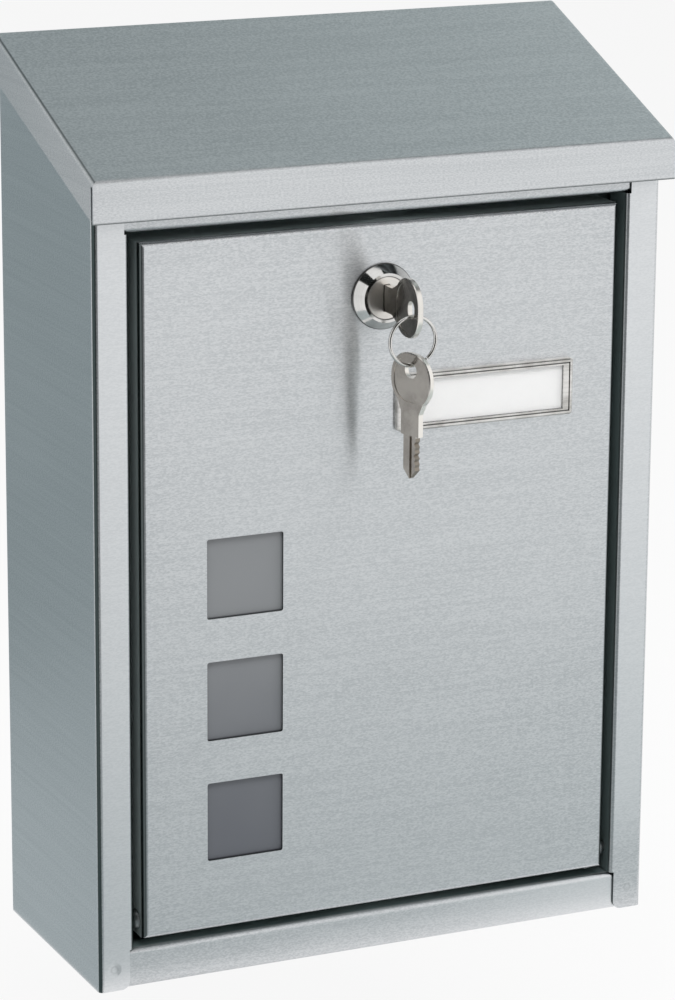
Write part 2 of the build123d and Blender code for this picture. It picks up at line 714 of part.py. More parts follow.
os.makedirs("parts", exist_ok=True)
for name, make in NODES.items():
    made = make()
    solids = made if isinstance(made, list) else [made]
    export_step(Compound(children=solids), f"parts/{name}.step")

print("door pivot", 0, FRONT + PIVOT_IN, BOTTOM + PIVOT_HEIGHT)
print("lid hinge", 0, FRONT + HINGE_IN, BOTTOM + HINGE_HEIGHT)
print("lock axis", LOCK_X, FRONT, BOTTOM + LOCK_HEIGHT)
print("ring swing", LOCK_X, FRONT + RING_PLANE, BOTTOM + RING_TOP)
print("spare key swing", LOCK_X, FRONT + RING_PLANE, BOTTOM + RING_FOOT)
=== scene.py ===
# %% [markdown]
# A wall mounted mailbox of brushed stainless sheet, dressed for its picture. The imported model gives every
# piece its shape and its place, in metres, with the middle of the wall holes at the origin, +X to the
# right, +Y into the wall and +Z up. This lesson adds what the solids can't hold: the grain of the steel,
# the turned chrome of the lock, the plastics, the light and the camera.

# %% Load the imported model
import math

import bpy
from mathutils import Matrix, Vector


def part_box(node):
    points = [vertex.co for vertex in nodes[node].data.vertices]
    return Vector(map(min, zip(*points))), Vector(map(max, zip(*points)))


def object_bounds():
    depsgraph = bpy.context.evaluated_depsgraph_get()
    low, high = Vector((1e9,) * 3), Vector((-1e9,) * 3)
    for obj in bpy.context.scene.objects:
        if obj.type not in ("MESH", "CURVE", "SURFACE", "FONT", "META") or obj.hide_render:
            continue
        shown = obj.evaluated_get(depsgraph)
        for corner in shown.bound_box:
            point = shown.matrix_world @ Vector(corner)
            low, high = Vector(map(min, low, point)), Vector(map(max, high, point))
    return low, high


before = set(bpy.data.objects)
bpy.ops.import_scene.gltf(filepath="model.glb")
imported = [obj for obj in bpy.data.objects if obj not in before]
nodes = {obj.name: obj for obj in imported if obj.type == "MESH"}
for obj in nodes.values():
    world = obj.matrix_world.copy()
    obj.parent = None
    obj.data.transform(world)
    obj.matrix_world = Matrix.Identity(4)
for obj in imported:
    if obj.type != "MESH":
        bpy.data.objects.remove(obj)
cad_low, cad_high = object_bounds()
scene = bpy.context.scene
print("loaded", len(nodes), "nodes, box", [round(side, 4) for side in cad_high - cad_low])

# %% [markdown]
# The camera stands where the photo was taken: a little above the box and to its left, far back with a
# long lens, so that the upright edges stay almost parallel. It could be moved by hand until the picture
# looks right, but a fit of the box's corners gives the place and the three angles at once. Blender's
# camera looks along its own -Z, so its turn is built from those axes.

# %% Place the camera
UPWARDS = Vector((0, 0, 1))
IMAGE_SIZE = (675, 1000)
FOCAL_PIXELS = 3934.0
SENSOR_WIDTH = 36
NEAREST_SEEN = 0.05
FURTHEST_SEEN = 100
CAMERA_PLACE = Vector((-0.5552, -1.2583, 0.3554))
CAMERA_YAW = math.radians(24.693)
CAMERA_PITCH = math.radians(15.201)
CAMERA_ROLL = math.radians(0.377)


def place_camera():
    ahead = Vector((
        math.sin(CAMERA_YAW) * math.cos(CAMERA_PITCH),
        math.cos(CAMERA_YAW) * math.cos(CAMERA_PITCH),
        -math.sin(CAMERA_PITCH),
    ))
    right = ahead.cross(UPWARDS).normalized()
    up = right.cross(ahead)
    turn = Matrix((right, up, -ahead)).transposed().to_4x4()
    camera = bpy.data.objects.new("camera", bpy.data.cameras.new("camera"))
    camera.data.sensor_width = SENSOR_WIDTH
    camera.data.lens = FOCAL_PIXELS / max(IMAGE_SIZE) * SENSOR_WIDTH
    camera.data.clip_start = NEAREST_SEEN
    camera.data.clip_end = FURTHEST_SEEN
    camera.matrix_world = Matrix.Translation(CAMERA_PLACE) @ turn @ Matrix.Rotation(CAMERA_ROLL, 4, "Z")
    scene.collection.objects.link(camera)
    scene.camera = camera
    print("camera lens", round(camera.data.lens, 1), "mm")


place_camera()

# %% [markdown]
# Every finish here is a small web of nodes. Written node by node, such a web hides its own idea, so one
# class wraps an output socket and lets Python's signs make the Math nodes: `1 - mask * 0.3` reads as it
# works. A single method makes all the other nodes. Colours keep to Mix nodes, because Math would turn
# them grey.

# %% A wire that takes part in sums
class Wire:
    """One output socket of a node tree."""

    def __init__(self, tree, socket):
        self.tree = tree
        self.socket = socket

    @classmethod
    def of(cls, tree, kind, settings=None, sockets=None, out=0):
        """Adds a node: its settings first, then the values or wires of its sockets."""
        node = tree.nodes.new(kind)
        for name, value in (settings or {}).items():
            setattr(node, name, value)
        for name, value in (sockets or {}).items():
            if isinstance(value, Wire):
                tree.links.new(value.socket, node.inputs[name])
            else:
                node.inputs[name].default_value = value
        return cls(tree, node.outputs[out])

    def maths(self, operation, first, second=0.0):
        return Wire.of(self.tree, "ShaderNodeMath", {"operation": operation}, {0: first, 1: second})

    def __add__(self, other):
        return self.maths("ADD", self, other)

    def __radd__(self, other):
        return self.maths("ADD", other, self)

    def __sub__(self, other):
        return self.maths("SUBTRACT", self, other)

    def __rsub__(self, other):
        return self.maths("SUBTRACT", other, self)

    def __mul__(self, other):
        return self.maths("MULTIPLY", self, other)

    def __rmul__(self, other):
        return self.maths("MULTIPLY", other, self)

    def __truediv__(self, other):
        return self.maths("DIVIDE", self, other)

    def __rtruediv__(self, other):
        return self.maths("DIVIDE", other, self)

    def __pow__(self, other):
        return self.maths("POWER", self, other)

    def __rpow__(self, other):
        return self.maths("POWER", other, self)

    def __abs__(self):
        return self.maths("ABSOLUTE", self)

    def least(self, other):
        return self.maths("MINIMUM", self, other)

    def most(self, other):
        return self.maths("MAXIMUM", self, other)


print("wires ready")

# %% [markdown]
# A finish has to know where it is, because painted highlights on rims, cut edges and painted shade in the
# gaps depend on the place of a point and on the way its surface faces. Texture maps would need every piece
# unfolded. The object's own coordinates are the frame's metres, so a grain keeps its real width on every
# piece and stays put when the piece moves.

# %% Places and directions
def start(name):
    material = bpy.data.materials.new(name)
    material.use_nodes = True
    material.node_tree.nodes.clear()
    return material, material.node_tree


def parts_of(tree, coordinate):
    vector = Wire.of(tree, "ShaderNodeTexCoord", out=coordinate)
    split = Wire.of(tree, "ShaderNodeSeparateXYZ", sockets={0: vector})
    return [Wire(tree, socket) for socket in split.socket.node.outputs]


def where(tree):
    """How far right, how deep and how high a point lies."""
    return parts_of(tree, "Object")


def facing(tree):
    """How much the surface faces right, into the wall and up."""
    return parts_of(tree, "Normal")


print("places and directions ready")

# %% [markdown]
# Two things shape almost every finish: a noise, which makes it uneven as real surfaces are, and a mask,
# which says how much of something a point gets. Both could be painted, but then they would have one fixed
# sharpness. Worked out from the place, they hold at any distance: a noise that can be stretched along one
# direction, and ramps that are smooth at both ends.

# %% Noise and masks
def stretched_noise(tree, x, y, z, detail=2.0, rough=0.5, seed=0.0):
    """A noise between 0 and 1, over coordinates that are already scaled."""
    place = Wire.of(tree, "ShaderNodeCombineXYZ", sockets={0: x + seed, 1: y, 2: z})
    sockets = {"Vector": place, "Scale": 1.0, "Detail": detail, "Roughness": rough}
    return Wire.of(tree, "ShaderNodeTexNoise", {"noise_dimensions": "3D"}, sockets)


def grained_noise(tree, grains, detail=2.0, rough=0.5, seed=0.0):
    """A noise with so many grains to the metre along x, y and z."""
    scaled = [part * grain for part, grain in zip(where(tree), grains)]
    return stretched_noise(tree, *scaled, detail, rough, seed)


def even_noise(tree, grains, detail=2.0, rough=0.5, seed=0.0):
    """A noise that is the same in all directions."""
    return grained_noise(tree, (grains, grains, grains), detail, rough, seed)


def ramp(tree, value, low, high, from_value=0.0, to_value=1.0):
    """The value carried from low..high to from_value..to_value, smooth at both ends."""
    sockets = dict(enumerate([value, low, high, from_value, to_value]))
    return Wire.of(tree, "ShaderNodeMapRange", {"interpolation_type": "SMOOTHSTEP"}, sockets)


def near(tree, value, place, reach):
    """1 at a place, falling to 0 at reach from it."""
    return ramp(tree, abs(value - place), 0.0, reach, 1.0, 0.0)


print("noise and masks ready")

# %% [markdown]
# Last come the words for colour and shine. One Principled shader can be steel, chrome, plastic or paper,
# which is simpler to learn than a shader for each. The Mix node's sockets for colours come after those
# for plain values and share their names, so they are reached by number, and the numbers get names here.

# %% Colours and shaders
MIX_AMOUNT = 0
MIX_FIRST = 6
MIX_SECOND = 7
MIX_COLOUR = 2


def between(tree, amount, first, second):
    """The colour between two colours, or wires that carry colours."""
    first = first if isinstance(first, Wire) else (*first, 1)
    second = second if isinstance(second, Wire) else (*second, 1)
    sockets = {MIX_AMOUNT: amount, MIX_FIRST: first, MIX_SECOND: second}
    return Wire.of(tree, "ShaderNodeMix", {"data_type": "RGBA"}, sockets, out=MIX_COLOUR)


def bumped(tree, height, strength, distance):
    sockets = {"Strength": strength, "Distance": distance, "Height": height}
    return Wire.of(tree, "ShaderNodeBump", None, sockets)


def shaded(tree, sockets):
    return Wire.of(tree, "ShaderNodeBsdfPrincipled", None, sockets)


def glowing(tree, colour):
    return Wire.of(tree, "ShaderNodeEmission", None, {"Color": colour, "Strength": 1.0})


def mixed(tree, amount, first, second):
    return Wire.of(tree, "ShaderNodeMixShader", None, {0: amount, 1: first, 2: second})


def close(tree, shader):
    output = tree.nodes.new("ShaderNodeOutputMaterial")
    tree.links.new(shader.socket, output.inputs[0])


def dress(node, material):
    for slot in nodes[node].material_slots:
        slot.material = material
    print(node, "wears", material.name)


print("colours and shaders ready")

# %% [markdown]
# Brushed stainless is drawn past an abrasive belt, so fine scratches run level along the sheet and spread
# the light up and down but hardly sideways. A picture of such steel would repeat itself on a face this
# large, so the scratches are a noise that is long one way and short the other. A face that lies level has
# no up and down, and takes its scratches across the depth instead.

# %% Scratches of the belt
SCRATCHES_ACROSS = 2900.0
SCRATCHES_ALONG = 1000.0
STREAKS_ACROSS = 900.0
STREAKS_ALONG = 14.0
CLOUDS = (7.0, 7.0, 11.0)
LYING_LEVEL = (0.97, 0.995)


def scratches(tree, seed):
    """Fine short scratches, long faint streaks and slow clouds, each between 0 and 1."""
    x, y, z = where(tree)
    level = ramp(tree, abs(facing(tree)[2]), *LYING_LEVEL)
    across = z + y * level
    right = x * SCRATCHES_ALONG
    deep = y * SCRATCHES_ALONG * (1 - level)
    fine = stretched_noise(tree, right, deep, across * SCRATCHES_ACROSS, rough=0.6, seed=seed)
    streaks = (x * STREAKS_ALONG, y * STREAKS_ALONG, across * STREAKS_ACROSS)
    long = stretched_noise(tree, *streaks, seed=seed + 5.0)
    cloud = grained_noise(tree, CLOUDS, seed=seed + 9.0)
    return fine, long, cloud


print("scratches", round(1000 / SCRATCHES_ACROSS, 2), "mm wide")

# %% [markdown]
# The scratches tint the steel a little, roughen it and give a shallow bump. The spread of the light is
# the shader's own anisotropy, turned a quarter so that it lies across the scratches. Where the sheet was
# folded back, nobody brushed it: the returns inside the gaps keep the dull mill finish of the coil, whose
# dark colour on the frame is mostly painted shade of the gap, and bends and cut edges get painted shade.
# Painted light and a painted highlight along edges brighten chosen places. Each could be a material of its
# own, but one steel with masks keeps the changes soft.

# %% Brushed and mill steel
STEEL = (0.72, 0.735, 0.75)
STEEL_DARK = (0.55, 0.572, 0.588)
STEEL_BRIGHT = (0.84, 0.855, 0.87)
MILL_AND_GAP_SHADE = (0.17, 0.22, 0.22)
DOOR_MILL = (0.56, 0.645, 0.645)
PAINTED_SHADE_AND_WELD = (0.055, 0.073, 0.073)
LEVEL = 0.25
ROUGH = 0.29
SPREAD = 1.0
FINE_SHARE = 0.8
GRAIN_TONES = (0.36, 0.64)
CLOUD_TONES = (0.3, 0.7)
CLOUD_TINT = 0.14
FINE_ROUGH = 0.03
CLOUD_ROUGH = 0.02
SHEEN_TINT = 0.5
SHEEN_SMOOTH = 0.06
MILL_ROUGH = 0.2
MILL_DULL = 0.6
GRAIN_BUMP = (0.06, 0.00008)


def steel_skin(
    tree, seed, mill=None, painted_sheen=None, bend=None, painted_light=None,
    raw=MILL_AND_GAP_SHADE, rough=ROUGH, spread=SPREAD, turn=LEVEL,
):
    """The shader of one sheet: turn is the direction of the scratches, as a share of a full turn."""
    fine, long, cloud = scratches(tree, seed)
    grain = fine * FINE_SHARE + long * (1 - FINE_SHARE)
    colour = between(tree, ramp(tree, grain, *GRAIN_TONES), STEEL_DARK, STEEL)
    colour = between(tree, ramp(tree, cloud, *CLOUD_TONES, 0.0, CLOUD_TINT), colour, STEEL_BRIGHT)
    roughness = rough + (fine - 0.5) * FINE_ROUGH + (cloud - 0.5) * CLOUD_ROUGH
    metal = 1.0
    # Painted light: chosen places are brightened towards bright steel.
    if painted_light:
        colour = between(tree, painted_light, colour, STEEL_BRIGHT)
    # A painted highlight, which also smooths the steel a little.
    if painted_sheen:
        colour = between(tree, painted_sheen * SHEEN_TINT, colour, STEEL_BRIGHT)
        roughness = roughness - painted_sheen * SHEEN_SMOOTH
    # Painted shade on bends, cut edges and sills, and the real mark of the spot weld.
    if bend:
        colour = between(tree, bend, colour, PAINTED_SHADE_AND_WELD)
    # The dull mill finish; its dark colour on the frame is mostly painted shade of the gap.
    if mill:
        colour = between(tree, mill, colour, raw)
        roughness = roughness + mill * MILL_ROUGH
        metal = 1 - mill * MILL_DULL
    return shaded(tree, {
        "Base Color": colour,
        "Metallic": metal,
        "Roughness": roughness,
        "Anisotropic": spread,
        "Anisotropic Rotation": turn,
        "Normal": bumped(tree, grain, *GRAIN_BUMP),
    })


print("steel ready, roughness", ROUGH)

# %% [markdown]
# The wrap is one sheet bent round the back, the sides and the two stiles at the front. Its stiles end in
# returns that line the door's gap and stay mill dull, darkened with painted shade of the gap, and its cut
# edges get painted shade. A painted highlight follows the front bends, which get painted shade, darker on
# the left than on the right, and the front faces of the stiles get painted light, except at the right foot.
# A faint ring near each foot is the mark of the spot weld that holds the bottom pan. Each mark is a mask
# made from its own place on the sheet.

# %% Places on the wrap
SHEET = 0.0008
BODY_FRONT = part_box("body_wrap")[0].y
HALF_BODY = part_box("body_wrap")[1].x
STILE_EDGE = 0.092
RETURN_WIDTH = (STILE_EDGE + 0.0001, STILE_EDGE + 0.0012)
RETURN_DEPTH = (BODY_FRONT + 0.0006, BODY_FRONT + 0.002)
FRONT_HALF = (-0.02, -0.01)
SHEEN_IN = 0.0006
SHEEN_WIDTH = 0.0012
CUT_EDGE = (0.098, 0.100)
LEFT_TO_RIGHT = (-0.05, 0.05)
RIGHT_HALF = (0.0, 0.05)
RIGHT_FOOT = (-0.145, -0.113)
WELD = Vector((0.09940, 0, -0.1523))
WELD_RADIUS = 0.0012
print("wrap's front at", round(BODY_FRONT, 4), "half width", round(HALF_BODY, 4))

# %% [markdown]
# How far the surface faces ahead or sideways tells a flat face from a bend: on a flat face one of the two
# is 1, and in the round of a bend both are less. A solid has no other record of where its bends are.

# %% Steel of the wrap
BEND_TURN = (0.88, 0.98)
RIGHT_BEND = 0.2
CUT_TURN = (0.6, 0.9)
CUT_SHADE = 0.9
WELD_TURN = (0.9, 0.97)
WELD_DARK = 0.16
STILE_TURN = (0.97, 0.99)
STILE_PAINTED_LIGHT = 0.55


def wrap_steel():
    material, tree = start("steel of the wrap")
    x, y, z = where(tree)
    across, back = [abs(part) for part in facing(tree)[:2]]
    front_half = ramp(tree, y, *FRONT_HALF, 1.0, 0.0)
    # The returns get the dark mill colour, mostly painted shade of the gap.
    returned = ramp(tree, abs(x), *RETURN_WIDTH, 1.0, 0.0) * ramp(tree, y, *RETURN_DEPTH) * front_half
    # A painted highlight along the front bends.
    sheen_across = near(tree, abs(x), HALF_BODY - SHEEN_IN, SHEEN_WIDTH)
    painted_sheen = sheen_across * near(tree, y, BODY_FRONT + SHEEN_IN, SHEEN_WIDTH)
    # Painted shade on the bends, weaker on the right, and on the cut edges; the ring is the real mark of
    # the weld.
    bend = ramp(tree, across.most(back), *BEND_TURN, 1.0, 0.0)
    bend = bend * ramp(tree, x, *LEFT_TO_RIGHT, 1.0, RIGHT_BEND)
    cut = ramp(tree, across, *CUT_TURN, 0.0, CUT_SHADE) * ramp(tree, abs(x), *CUT_EDGE, 1.0, 0.0)
    aside = abs(x) - WELD.x
    above = z - WELD.z
    from_weld = (aside * aside + above * above) ** 0.5
    welded = near(tree, from_weld, WELD_RADIUS, WELD_RADIUS / 2) * ramp(tree, back, *WELD_TURN) * front_half
    dark = bend.most(cut).most(welded * WELD_DARK)
    # Painted light on the front faces of the stiles, left out at the right foot.
    right_foot = ramp(tree, x, *RIGHT_HALF) * ramp(tree, z, *RIGHT_FOOT, 1.0, 0.0)
    painted_light = ramp(tree, back, *STILE_TURN, 0.0, STILE_PAINTED_LIGHT) * front_half * (1 - right_foot)
    close(tree, steel_skin(tree, 1.0, returned, painted_sheen, dark, painted_light))
    return material


dress("body_wrap", wrap_steel())

# %% [markdown]
# The bottom pan turns up into the lower rail, and the top rail closes the frame under the lid and carries
# the strike for the lock. Only a narrow face of each is brushed, with painted light that grows towards the
# right; what runs back behind the door is mill steel, darkened with painted shade of the gap. They differ
# so little that one function dresses both.

# %% Steel of the two rails
RAIL_FACE = (BODY_FRONT + SHEET + 0.0010, BODY_FRONT + SHEET + 0.0026)
RAIL_END = 0.09


def rail_steel(name, seed, painted_light_end):
    material, tree = start(name)
    x, y = where(tree)[:2]
    # Behind the face: the dark mill colour, mostly painted shade; the face gets painted light towards the
    # right.
    behind = ramp(tree, y, *RAIL_FACE)
    painted_light = ramp(tree, x, 0.0, RAIL_END, 0.0, painted_light_end)
    close(tree, steel_skin(tree, seed, behind, painted_light=painted_light))
    return material


dress("bottom_pan", rail_steel("steel of the bottom pan", seed=2.0, painted_light_end=0.55))
dress("top_rail", rail_steel("steel of the top rail", seed=3.0, painted_light_end=0.1))

# %% [markdown]
# The door is a shallow tray: a brushed face with four returns. The face carries the picture's largest
# field of grain. Its rim gets a little painted highlight at the top and the foot, its upright edges and the
# sills of its windows get painted shade, and the returns behind it are mill steel. The way the surface
# faces finds the edges.

# %% Steel of the door
DOOR_FACE = (0.0012, 0.0028)
DOOR_RIM = (0.0004, 0.0018)
DOOR_SHEEN = 0.5
EDGE_TURN = (0.2, 0.5)
SILL_TURN = (0.5, 0.8)
SILL_IN = (0.004, 0.006)
EDGE_SHADE = 0.9


def door_steel():
    material, tree = start("steel of the door")
    y, z = where(tree)[1:]
    low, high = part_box("door_panel")
    behind = ramp(tree, y, *[low.y + depth for depth in DOOR_FACE])
    to_end = (z - low.z).least(high.z - z)
    # A painted highlight along the top and the foot of the rim.
    painted_sheen = ramp(tree, to_end, *DOOR_RIM, DOOR_SHEEN, 0.0)
    across, _, up = facing(tree)
    # Painted shade on the upright edges and on the sills of the windows.
    edge = ramp(tree, abs(across), *EDGE_TURN, 0.0, EDGE_SHADE)
    sill = ramp(tree, abs(up), *SILL_TURN, 0.0, EDGE_SHADE) * ramp(tree, to_end, *SILL_IN)
    close(tree, steel_skin(tree, 4.0, behind, painted_sheen, edge.most(sill), raw=DOOR_MILL))
    return material


dress("door_panel", door_steel())

# %% [markdown]
# The lid is cut from the same sheet with its scratches running across the roof. Folded down, they stay
# level on the front lip but stand upright on the side flanges, which therefore catch another part of the
# room. Blender turns the shader's own grain round the vertical axis, so on the roof, which faces up, it
# is left out. Three shaders are mixed by the way the surface faces. The bends between roof and flanges get
# painted shade, the lip gets a little painted light, and a painted shadow line closes its lower edge.

# %% Steel of the lid
LIP_SHADOW_LINE = 0.0008
LIP_SHADOW = 0.9
LIP_TURN = (0.9, 0.97)
LIP_PAINTED_LIGHT = 0.1
LID_BEND = 0.62
LID_BEND_WIDTH = 0.3
LID_BEND_SHADE = 0.8
LID_FACE = (0.5, 0.8)
ROOF_ROUGH = 0.4


def lid_steel():
    material, tree = start("steel of the lid")
    across, back, up = [abs(part) for part in facing(tree)]
    # Painted shade on the bends, a painted shadow line under the lip and a little painted light on its
    # face.
    bend = near(tree, across, LID_BEND, LID_BEND_WIDTH) * LID_BEND_SHADE
    under = near(tree, where(tree)[2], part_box("lid_cover")[0].z, LIP_SHADOW_LINE) * LIP_SHADOW
    painted_light = ramp(tree, back, *LIP_TURN, 0.0, LIP_PAINTED_LIGHT)
    roof = steel_skin(tree, 5.0, bend=bend, rough=ROOF_ROUGH, spread=0.0, turn=0.0)
    lip = steel_skin(tree, 6.0, bend=under.most(bend), painted_light=painted_light)
    flange = steel_skin(tree, 7.0, bend=bend, turn=0.0)
    walls = mixed(tree, ramp(tree, across, *LID_FACE), lip, flange)
    close(tree, mixed(tree, ramp(tree, up, *LID_FACE), walls, roof))
    return material


dress("lid_cover", lid_steel())

# %% [markdown]
# The lock's face is turned on a lathe and chrome plated, so its fine marks are rings round the lock's own
# axis, and painted shade darkens the ring where plug and bezel meet and the rim round the bezel's foot. A
# noise that reads only the distance from the axis and the depth makes such rings by itself, with no circle
# to draw.

# %% Turned chrome of the lock
MOTTLE = (0.35, 0.65)
LOCK_AXIS = (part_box("lock_barrel")[0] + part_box("lock_barrel")[1]) / 2
CHROME = (0.74, 0.735, 0.72)
CHROME_DULL = (0.60, 0.595, 0.58)
SATIN = (0.88, 0.85, 0.81)
SATIN_DULL = (0.74, 0.71, 0.67)
SEAM_SHADE = (0.02, 0.02, 0.02)
SEAM_RADII = (0.00735, 0.0113)
SEAM_WIDTH = 0.00028
SEAM_DARK = 0.9
SEAM_ROUGH = 0.3
RINGS_ACROSS = 6000.0
RINGS_DEEP = 3000.0
RING_SHARE = 0.5
RING_BUMP = (0.04, 0.00003)
CHROME_SMEAR = 160.0
CHROME_SMEAR_ROUGH = 0.05


def turned_chrome(name, bright, dull, rough):
    """Plating with fine turned rings, and painted shade in the ring where plug and bezel meet and round the
    foot.
    """
    material, tree = start(name)
    x, y, z = where(tree)
    across = x - LOCK_AXIS.x
    up = z - LOCK_AXIS.z
    radius = (across * across + up * up) ** 0.5
    rings = stretched_noise(tree, radius * RINGS_ACROSS, y * RINGS_DEEP, 0.0, rough=0.6, seed=1.0)
    smear = even_noise(tree, CHROME_SMEAR, seed=4.0)
    tone = ramp(tree, rings * RING_SHARE + smear * (1 - RING_SHARE), *MOTTLE)
    # Painted shade in the ring where plug and bezel meet and round the foot.
    inner, outer = [near(tree, radius, ring, SEAM_WIDTH) for ring in SEAM_RADII]
    seam_shade = inner.most(outer)
    close(tree, shaded(tree, {
        "Base Color": between(tree, seam_shade * SEAM_DARK, between(tree, tone, dull, bright), SEAM_SHADE),
        "Metallic": 1.0,
        "Roughness": rough + smear * CHROME_SMEAR_ROUGH + seam_shade * SEAM_ROUGH,
        "Normal": bumped(tree, rings, *RING_BUMP),
    }))
    return material


dress("lock_barrel", turned_chrome("chrome of the lock", CHROME, CHROME_DULL, rough=0.07))
dress("lock_plug", turned_chrome("satin of the plug", SATIN, SATIN_DULL, rough=0.32))

# %% [markdown]
# The other small metal pieces are plated or drawn: washers, nut, cam and screw are bright zinc, the hinge
# is drawn steel, the rivets are dull and darkened with painted shade of the gap they sit in, the wafers are
# bare brass and the ring is bright wire. Each could be its own web of nodes, but they differ only in
# colour, roughness and grain, so one function makes them all: a mottled colour, a roughness that follows
# it and a fine bump.

# %% Plated and drawn metals
SPECK_SHARE = 0.3
SPECK_DETAIL = (3.0, 0.6)
PLATED_SMEAR = 90.0
PLATED_BUMP = 0.00004
ROUGH_BY_SPECK = 0.5
ROUGH_BY_SMEAR = 0.6


def mottled(tree, speck, smear, dull, bright):
    tone = ramp(tree, smear * (1 - SPECK_SHARE) + speck * SPECK_SHARE, *MOTTLE)
    return between(tree, tone, dull, bright)


def plated(name, bright, dull, rough, grains, depth, seed):
    material, tree = start(name)
    speck = even_noise(tree, grains, *SPECK_DETAIL, seed)
    smear = even_noise(tree, PLATED_SMEAR, seed=seed + 3.0)
    uneven = (speck - 0.5) * ROUGH_BY_SPECK + (smear - 0.5) * ROUGH_BY_SMEAR
    close(tree, shaded(tree, {
        "Base Color": mottled(tree, speck, smear, dull, bright),
        "Metallic": 1.0,
        "Roughness": rough + uneven * rough,
        "Normal": bumped(tree, speck, depth, PLATED_BUMP),
    }))
    return material


zinc = plated(
    "bright zinc", (0.62, 0.63, 0.64), (0.50, 0.51, 0.53),
    rough=0.34, grains=400.0, depth=0.15, seed=2.0,
)
hinge_steel = plated(
    "drawn hinge steel", (0.58, 0.59, 0.60), (0.46, 0.47, 0.48),
    rough=0.32, grains=500.0, depth=0.12, seed=3.0,
)
# The rivets sit in the door's gap: their dark colour is painted shade.
shaded_rivet_steel = plated(
    "dull rivet steel", (0.30, 0.31, 0.315), (0.20, 0.21, 0.215),
    rough=0.42, grains=500.0, depth=0.15, seed=7.0,
)
brass = plated(
    "wafer brass", (0.72, 0.55, 0.28), (0.56, 0.42, 0.20),
    rough=0.30, grains=500.0, depth=0.1, seed=4.0,
)
wire = plated(
    "ring wire", (0.82, 0.81, 0.79), (0.62, 0.61, 0.59),
    rough=0.2, grains=700.0, depth=0.08, seed=6.0,
)

for node in ("lock_washer", "lock_nut", "stop_washer", "lock_cam", "cam_screw"):
    dress(node, zinc)
for node in ("hinge_back_leaf", "hinge_lid_leaf", "hinge_pin"):
    dress(node, hinge_steel)
dress("door_pivots", shaded_rivet_steel)
dress("lock_wafers", brass)
dress("key_ring", wire)

# %% [markdown]
# The keys are stamped from nickel plated brass. The cuts are milled after plating, so the small faces
# along the blade are bare and dull, and painted shade darkens them further. The rim of the bow gets a
# painted highlight. The key that lives in the lock is a darker copy, with painted shade. A key is flat, so
# how far a face turns away from the flat finds both the rim and the cuts.

# %% Keys
BLADE = (0.0142, 0.0148)
KEY_TURN = {"key_in_lock": 0.0, "spare_key": math.radians(15)}
SHADED_CUT_BRASS = (0.35, 0.315, 0.27)
CUT_FACE = (0.3, 0.7)
CUT_ROUGH = 0.25
RIM_HIGHLIGHT_NICKEL = (0.95, 0.92, 0.87)
RIM_FACE = (0.8, 0.97)
RIM_HIGHLIGHT = 0.85
RIM_ROUGH = 0.1
KEY_SPECK = 700.0
KEY_SMEAR = 110.0
KEY_ROUGH = 0.14
KEY_UNEVEN = 0.06
KEY_BUMP = 0.1


def key_plating(node, bright, dull, seed):
    material, tree = start("plating of " + node)
    y, z = where(tree)[1:]
    low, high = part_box(node)
    to_tip = z - low.z if node == "spare_key" else high.y - y
    across, back = facing(tree)[:2]
    flat = abs(across * math.cos(KEY_TURN[node]) + back * math.sin(KEY_TURN[node]))
    # The cut faces: bare brass, darkened further with painted shade.
    cut = ramp(tree, to_tip, *BLADE, 1.0, 0.0) * ramp(tree, flat, *CUT_FACE, 1.0, 0.0)
    # A painted highlight on the rim of the bow.
    rim = ramp(tree, flat, *RIM_FACE, RIM_HIGHLIGHT, 0.0)
    speck = even_noise(tree, KEY_SPECK, *SPECK_DETAIL, seed)
    smear = even_noise(tree, KEY_SMEAR, seed=seed + 3.0)
    plating = between(tree, rim, mottled(tree, speck, smear, dull, bright), RIM_HIGHLIGHT_NICKEL)
    close(tree, shaded(tree, {
        "Base Color": between(tree, cut, plating, SHADED_CUT_BRASS),
        "Metallic": 1.0,
        "Roughness": KEY_ROUGH + (speck + smear) * KEY_UNEVEN + cut * CUT_ROUGH + rim * RIM_ROUGH,
        "Normal": bumped(tree, speck, KEY_BUMP, PLATED_BUMP),
    }))
    return material


# The key in the lock gets a darker copy of the nickel: painted shade.
dress("key_in_lock", key_plating("key_in_lock", (0.42, 0.395, 0.36), (0.27, 0.25, 0.23), seed=8.0))
dress("spare_key", key_plating("spare_key", (0.62, 0.575, 0.525), (0.46, 0.425, 0.385), seed=5.0))

# %% [markdown]
# The windows are closed from behind by one strip of smoked acrylic, which looks grey rather than clear
# because the sheet is frosted and the box behind it is dark. Real see-through would need light inside the
# box, so the grey is the sheet's own colour with the dark box painted in as shade, paler towards the top.
# A thin painted shadow lies on it along the lower edge of each window.

# %% Smoked pane
CLEAR_PLASTIC_IOR = 1.49
PANE_LIGHT = (0.225, 0.237, 0.247)
PANE_DARK = (0.118, 0.125, 0.143)
PANE_TONES = (-0.03, 0.87)
PANE_SPECK = 1500.0
PANE_HAZE = (30.0, 30.0, 24.0)
PANE_HAZE_SHIFT = 0.25
PANE_ROUGH = 0.22
PANE_UNEVEN = 0.1
PANE_BUMP = (0.05, 0.00003)
WINDOW_FEET = (-0.0317, -0.0749, -0.1181)
WINDOW_SHADOW_LINE = 0.0007
SHADOW_LINE_COLOUR = (0.02, 0.02, 0.022)
SHADOW_LINE_DARK = 0.85


